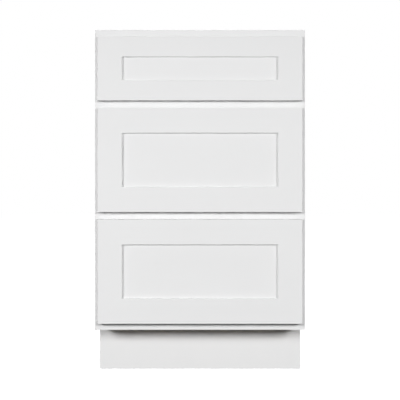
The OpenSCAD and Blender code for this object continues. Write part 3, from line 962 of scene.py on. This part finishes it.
# %% [markdown]
# ## Slides, clips and levers
#
# The slides are folded from strip, so their long edges are a little round. Each set of
# members is copied from the construction model and its edges are softened. The clips and the
# release levers are moulded, and a mould can't make a sharp edge either.

# %% Hardware
STEEL_ROUND = 0.00025
MOULDED_ROUND = 0.0004


def dress_hardware(node, width, material):
    piece = merged_copy(node, node + "_finished")
    soften(piece, width)
    smooth(piece)
    return hand_over(piece, material, node)


steel_nodes = ["slide_channels", "slide_brackets"]
steel_nodes += [f"{drawer}_slide_{part}" for drawer in DRAWERS for part in ("beams", "runners")]
for node in steel_nodes:
    dress_hardware(node, STEEL_ROUND, zinc_steel)
for drawer in DRAWERS:
    dress_hardware(f"{drawer}_locking_clips", MOULDED_ROUND, clip_plastic)
    for side in ("left", "right"):
        dress_hardware(f"{drawer}_{side}_lever", MOULDED_ROUND, lever_plastic)
print("hardware:", [name for name in made if name.endswith("_finished")])

# %% [markdown]
# ## Clear bumpers
#
# A small vinyl button behind each corner of a front keeps it off the frame and quiets it. It
# is a cylinder whose top is inset and pushed up into a low dome. One is modelled, and copies
# with meshes of their own go to the twelve places.

# %% Bumpers
CYLINDER_SIDES = 24
BUMPER_RADIUS = 0.004
BUMPER_INSET = 0.011
BUMPER_PLAY = 0.00005
DOME_SHARE = 0.35
DOME_RING = 0.35 * BUMPER_RADIUS
DOME_RISES = (0.5, 0.3)


def join_as(name, pieces):
    take(pieces[0])
    for piece in pieces[1:]:
        piece.select_set(True)
    bpy.ops.object.join()
    pieces[0].name = name
    return pieces[0]


def copy_to(model, name, place, turn=None):
    piece = bpy.data.objects.new(name, model.data.copy())
    bpy.context.scene.collection.objects.link(piece)
    if turn:
        piece.data.transform(turn)
    for vertex in piece.data.vertices:
        vertex.co += place
    return piece


front_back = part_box("top_front_left_stile")[1].y
bumper_height = frame_front - front_back - BUMPER_PLAY
bpy.ops.mesh.primitive_cylinder_add(
    vertices=CYLINDER_SIDES, radius=BUMPER_RADIUS, depth=bumper_height,
    location=(0, bumper_height / 2, 0), rotation=(-QUARTER, 0, 0))
bumper = bpy.context.object
bpy.ops.object.transform_apply(location=True, rotation=True, scale=True)
dome = bumper_height * DOME_SHARE
pick(bumper, "verts", lambda v: near(v.co.y, bumper_height))
bpy.ops.transform.translate(value=(0, -dome, 0))
for rise in DOME_RISES:
    bpy.ops.mesh.inset(thickness=DOME_RING)
    bpy.ops.transform.translate(value=(0, dome * rise, 0))
put_down()
for drawer in DRAWERS:
    low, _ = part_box(f"{drawer}_front_left_stile")
    _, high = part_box(f"{drawer}_front_right_stile")
    copies = []
    for side in (low.x + BUMPER_INSET, high.x - BUMPER_INSET):
        for level in (low.z + BUMPER_INSET, high.z - BUMPER_INSET):
            copies.append(copy_to(bumper, "bumper", Vector((side, front_back, level))))
    group = join_as(f"{drawer}_drawer_bumpers", copies)
    smooth(group)
    hand_over(group, clear_vinyl, body=f"{drawer}_drawer")
bpy.data.objects.remove(bumper)
print("bumper", round(bumper_height * 1000, 2), "mm high")

# %% [markdown]
# ## Screws
#
# Pan-head screws with a cross recess hold the channels, brackets, clips and fronts. The head
# is a cylinder with its rim rounded over. The recess is a small cross, made from a cube whose
# four sides are pulled out and whose foot is drawn in, and a Boolean takes it out of the head.
# The shank is pulled out of the head's underside and narrowed to a point. One screw is
# modelled, and its copies are turned the way that each one is driven.

# %% Model one screw
HEAD_RADIUS = 0.0038
HEAD_HEIGHT = 0.0018
HEAD_ROUND = 0.55 * HEAD_HEIGHT
SHANK_RADIUS = 0.0018
SHANK_LENGTH = 0.010
POINT_LENGTH = 2 * SHANK_RADIUS
POINT_SHARE = 0.15
CROSS_WIDTH = 0.0009
CROSS_REACH = 0.0011
CROSS_DEPTH = 0.0012
CROSS_TAPER = 0.45


def make_cross():
    bpy.ops.mesh.primitive_cube_add(size=CROSS_WIDTH, location=(0, 0, HEAD_HEIGHT))
    cross = bpy.context.object
    cross.scale.z = 2 * CROSS_DEPTH / CROSS_WIDTH
    bpy.ops.object.transform_apply(location=True, rotation=True, scale=True)
    for way in (Vector((1, 0, 0)), Vector((-1, 0, 0)), Vector((0, 1, 0)), Vector((0, -1, 0))):
        pull(cross, way * CROSS_REACH, lambda face: face.normal.dot(way) > SAME_WAY and near(
            face.calc_center_median().dot(way), CROSS_WIDTH / 2))
    pick(cross, "verts", lambda v: v.co.z < HEAD_HEIGHT)
    bpy.ops.transform.resize(value=(CROSS_TAPER, CROSS_TAPER, 1))
    put_down()
    return cross


def make_screw():
    bpy.ops.mesh.primitive_cylinder_add(
        vertices=CYLINDER_SIDES, radius=HEAD_RADIUS, depth=HEAD_HEIGHT,
        location=(0, 0, HEAD_HEIGHT / 2))
    screw = bpy.context.object
    bpy.ops.object.transform_apply(location=True, rotation=True, scale=True)
    bevel_picked(screw, HEAD_ROUND, 3, lambda edge: near(middle(edge).z, HEAD_HEIGHT))
    cross = make_cross()
    take(screw)
    recess = screw.modifiers.new("Cross recess", "BOOLEAN")
    recess.object = cross
    recess.solver = "EXACT"
    bpy.ops.object.modifier_apply(modifier=recess.name)
    bpy.data.objects.remove(cross)

    def is_underside(face):
        return face.normal.z < -SAME_WAY and near(face.calc_center_median().z, 0)

    pick(screw, "faces", is_underside)
    bpy.ops.mesh.inset(thickness=HEAD_RADIUS - SHANK_RADIUS)
    for length in (SHANK_LENGTH, POINT_LENGTH):
        bpy.ops.mesh.extrude_region_move(TRANSFORM_OT_translate={"value": (0, 0, -length)})
    bpy.ops.transform.resize(value=(POINT_SHARE, POINT_SHARE, 1))
    put_down()
    smooth(screw)
    return screw


screw = make_screw()
print("screw:", len(screw.data.polygons), "faces")

# %% [markdown]
# ## Where the screws go
#
# A screw fixes the tab of each slide channel behind its rail, and two hold each rear bracket.
# One goes up through each locking clip, and the fronts are screwed on from inside the boxes.
# The places come from the boxes of the parts that the screws hold, and from the sizes of the
# tabs and plates that they go through. The model's screw stands head up, and each turn is
# named for the way that its head looks then.

# %% Drive the screws
BACKWARDS = Euler((-QUARTER, 0, 0)).to_matrix().to_4x4()
FORWARDS = Euler((QUARTER, 0, 0)).to_matrix().to_4x4()
DOWNWARDS = Euler((2 * QUARTER, 0, 0)).to_matrix().to_4x4()


def right_half(node):
    points = [v.co for v in frame["nodes"][node].data.vertices if v.co.x > 0]
    low = Vector([min(point[axis] for point in points) for axis in (X, Y, Z)])
    high = Vector([max(point[axis] for point in points) for axis in (X, Y, Z)])
    return low, high


def drive(name, places, turn, body):
    copies = [copy_to(screw, "screw", Vector(place), turn) for place in places]
    group = join_as(name, copies)
    hand_over(group, screw_steel, body=body)


def both(x):
    return (-x, x)


TAB_DROP = 0.008
BRACKET_SPAN = 0.0154
BRACKET_PLATE = 0.003
STEEL = 0.0015
CLIP_PLATE = 0.005
CLIP_LENGTH = 0.038
CLIP_WIDTH = 0.024
FRONT_SCREW_X = 0.13
FRONT_SCREW_EDGE = 0.032

beam_low, beam_high = right_half("top_slide_beams")
slide_x = (beam_low.x + beam_high.x) / 2
tab_back = stile_high.y + STEEL
bracket_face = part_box("back_panel")[0].y - BRACKET_PLATE
floors = [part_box(f"frame_{level}_rail")[1].z for level in ("upper", "lower", "bottom")]
slides = [(x, z) for z in floors for x in both(slide_x)]
places = [(x, tab_back, z - TAB_DROP) for x, z in slides]
drive("channel_screws", places, BACKWARDS, "cabinet")
places = [(x, bracket_face, z + dz) for x, z in slides for dz in both(BRACKET_SPAN)]
drive("bracket_screws", places, FORWARDS, "cabinet")
for drawer in DRAWERS:
    low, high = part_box(f"{drawer}_drawer_subfront")
    bottom_low, bottom_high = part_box(f"{drawer}_drawer_bottom")
    clip_x = right_half(f"{drawer}_locking_clips")[0].x + CLIP_WIDTH / 2
    clip_y = high.y + CLIP_LENGTH / 3
    places = [(x, clip_y, bottom_low.z - CLIP_PLATE) for x in both(clip_x)]
    drive(f"{drawer}_clip_screws", places, DOWNWARDS, f"{drawer}_drawer")
    heights = (bottom_high.z + FRONT_SCREW_EDGE, high.z - FRONT_SCREW_EDGE)
    places = [(x, high.y, z) for z in heights for x in both(FRONT_SCREW_X)]
    drive(f"{drawer}_front_screws", places, BACKWARDS, f"{drawer}_drawer")
bpy.data.objects.remove(screw)
print([name for name in made if name.endswith("screws")])

# %% [markdown]
# ## Floor and background
#
# The cabinet stands on a plain floor in front of white. Rays from the camera see the floor and
# the world as white, and so do reflected and refracted rays, until they have met a matt
# surface. All other rays find an almost black room, so that the background adds no light of its
# own. Near the cabinet the floor's glow is dimmed, a painted shade round its foot, and a small
# share of the floor is an ordinary matt surface, so that its real shadow can show there.

# %% Stage
FLOOR_SIZE = 14.0
FLOOR_ALBEDO = 0.05
FLOOR_ROUGHNESS = 0.9
FLOOR_WHITE = 0.93
FLOOR_SHARE = 0.2
SHADOW_NEAR, SHADOW_FAR = 0.6, 2.0
SKY = 0.01


def seen_directly(tree):
    path = add(tree, "ShaderNodeLightPath").outputs
    mirror = calc(tree, "MAXIMUM", path["Is Glossy Ray"], path["Is Transmission Ray"])
    first_look = calc(tree, "LESS_THAN", path["Diffuse Depth"], 0.5)
    return calc(tree, "MAXIMUM", path["Is Camera Ray"], calc(tree, "MULTIPLY", mirror, first_look))


def grey(value):
    return (value, value, value, 1.0)


def make_floor_material():
    material, tree, shader = start_material("pale_floor")
    shader.inputs["Base Color"].default_value = grey(FLOOR_ALBEDO)
    shader.inputs["Roughness"].default_value = FLOOR_ROUGHNESS
    away = add(tree, "ShaderNodeVectorMath", {0: object_place(tree)}, operation="LENGTH")
    # The glow is dimmed towards the cabinet: painted shade round its foot
    white = spread(tree, away.outputs["Value"], SHADOW_NEAR, SHADOW_FAR, FLOOR_WHITE, 1.0)
    matt = add(tree, "ShaderNodeBsdfDiffuse", {"Color": grey(FLOOR_SHARE)})
    glow = add(tree, "ShaderNodeEmission", {"Color": grey(1.0), "Strength": white})
    shown = add(tree, "ShaderNodeAddShader", {0: matt.outputs[0], 1: glow.outputs[0]})
    feeds = {0: seen_directly(tree), 1: shader.outputs[0], 2: shown.outputs[0]}
    mix = add(tree, "ShaderNodeMixShader", feeds)
    wire(tree, mix.outputs[0], tree.nodes["Material Output"].inputs["Surface"])
    return material


bpy.ops.mesh.primitive_plane_add(size=FLOOR_SIZE)
floor = bpy.context.object
floor.name = "floor"
floor.data.materials.append(make_floor_material())
floor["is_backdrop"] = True

world = bpy.data.worlds.new("white_room")
world.use_nodes = True
bpy.context.scene.world = world
sky = world.node_tree.nodes["Background"]
strength = spread(world.node_tree, seen_directly(world.node_tree), 0.0, 1.0, SKY, 1.0)
wire(world.node_tree, strength, sky.inputs["Strength"])
sky.inputs["Color"].default_value = grey(1.0)
print("floor", FLOOR_SIZE, "m wide")

# %% [markdown]
# ## Soft light
#
# The shadow under each front is deeper than the one above it, and the shadow at the toe kick
# tapers at both ends. That places the light: two broad lamps in front, one on each side of the
# camera and a little higher than the cabinet, with a weaker one between them. All are feathered,
# as a photographer does: they are tipped towards the floor until the paint is even from top to
# toe. Two weaker lamps behind keep the back readable from other sides, and a high one lights
# the inside and the top edges.
#
# Light fades with the square of the distance, so a drawer that is pulled towards lamps this
# close would glare. The Light Falloff node makes it fade in step with the distance instead,
# and the fronts keep their tone wherever they stand.

# %% Lamps
FRONT_LAMPS = {
    "left_softbox": (-1.69, 1.98, 43.9),
    "right_softbox": (1.69, 1.98, 36.7),
    "front_softbox": (0.0, 2.6, 12.3),
}
BACK_LAMPS = {"back_left_softbox": (-1.7, 1.6, 20.0), "back_right_softbox": (1.7, 1.6, 20.0)}
LAMP_HEIGHT = 0.95
LAMP_SIZE = (0.7, 0.6)
LAMP_TIP = math.radians(31)
HIGH_LAMP = Vector((0, 1.7, 2.7))
HIGH_WATTS = 60.0


def add_softbox(name, place, aim, watts, reach):
    turn = aim.to_track_quat("-Z", "Y").to_euler()
    bpy.ops.object.light_add(type="AREA", location=place, rotation=turn)
    lamp = bpy.context.object
    lamp.name = name
    lamp.data.shape = "RECTANGLE"
    lamp.data.size, lamp.data.size_y = LAMP_SIZE
    lamp.data.energy = watts
    lamp.data.use_nodes = True
    tree = lamp.data.node_tree
    # At its reach the lamp is as bright as one that fades with the square of the distance
    fade = add(tree, "ShaderNodeLightFalloff", {"Strength": 1 / reach})
    wire(tree, fade.outputs["Linear"], tree.nodes["Emission"].inputs["Strength"])


def tipped(x, y):
    level = Vector((-x, -y, 0)).normalized()
    return level * math.cos(LAMP_TIP) - Vector((0, 0, math.sin(LAMP_TIP)))


for name, (x, away, watts) in FRONT_LAMPS.items():
    y = frame_front - away
    add_softbox(name, (x, y, LAMP_HEIGHT), tipped(x, y), watts, math.hypot(x, away))
for name, (x, away, watts) in BACK_LAMPS.items():
    y = cad_high.y + away
    add_softbox(name, (x, y, LAMP_HEIGHT), tipped(x, y), watts, math.hypot(x, away))
high_aim = Vector((0, 0, cad_high.z)) - HIGH_LAMP
add_softbox("high_softbox", HIGH_LAMP, high_aim, HIGH_WATTS, high_aim.length)
print("lamps:", [*FRONT_LAMPS, *BACK_LAMPS, "high_softbox"])

# %% [markdown]
# ## Camera
#
# The picture is level and square on, with a long lens: the uprights stay parallel, and the
# underside of the frame just hides the top of the toe kick. Keeping the camera level and
# shifting the lens down, as an architect's camera does, frames the whole cabinet.

# %% Camera
IMAGE_WIDTH = 400
EYE_HEIGHT = 0.549
EYE_DISTANCE = 2.59
HORIZON_ROW = 158.8
PIXELS_PER_METRE = 393.4
SENSOR = 36.0

bpy.ops.object.camera_add(
    location=(0, frame_front - EYE_DISTANCE, EYE_HEIGHT), rotation=(QUARTER, 0, 0))
camera = bpy.context.object
camera.data.sensor_width = SENSOR
camera.data.lens = SENSOR * PIXELS_PER_METRE * EYE_DISTANCE / IMAGE_WIDTH
camera.data.shift_y = (HORIZON_ROW - IMAGE_WIDTH / 2) / IMAGE_WIDTH
camera.data.clip_end = 100
bpy.context.scene.camera = camera
bpy.context.scene.view_settings.view_transform = "Standard"
print("lens", round(camera.data.lens, 1), "mm, shift", round(camera.data.shift_y, 3))

# %% [markdown]
# ## Sizes
#
# The box that the finished cabinet fills is measured.

# %% Finish
low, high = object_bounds()
print(len(made), "pieces,", sum(made.values()), "faces")
